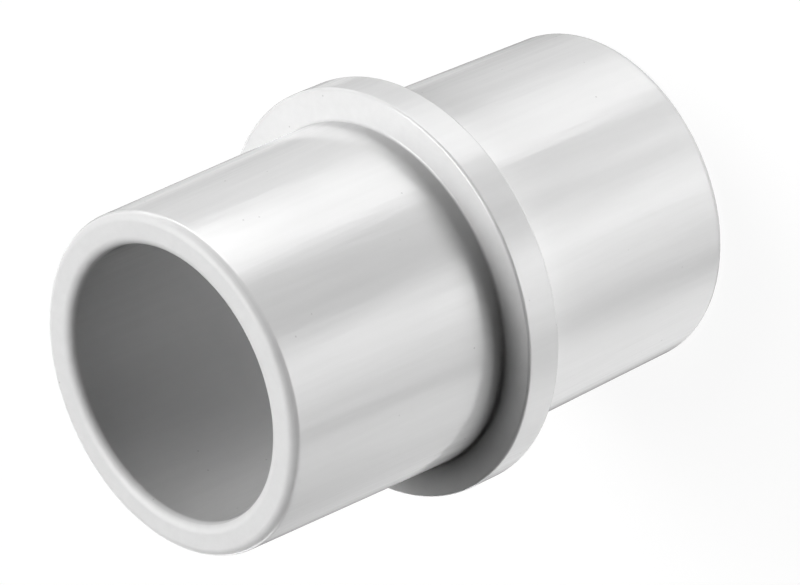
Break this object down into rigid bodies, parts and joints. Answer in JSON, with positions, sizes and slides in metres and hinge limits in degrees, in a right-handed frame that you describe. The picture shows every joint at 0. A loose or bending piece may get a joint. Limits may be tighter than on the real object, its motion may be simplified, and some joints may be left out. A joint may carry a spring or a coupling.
{
  "type": "internal pipe coupling",
  "caption": "Straight moulded plastic coupling that joins pipes from the inside: a tapered spigot on each side of a collar, with a through bore.",
  "frame": {"origin": "middle of the end face that the coupling stands on, on the axis of the bore", "axes": "+Z along the axis of the bore, from the face it stands on to the other end; X and Y are any two directions across it"},
  "size_m": [0.0484, 0.0484, 0.0677],
  "materials": {
    "moulded_plastic": "smooth glossy moulded white plastic"
  },
  "bodies": {
    "root": {"coupling": "moulded_plastic"}
  },
  "joints": []
}
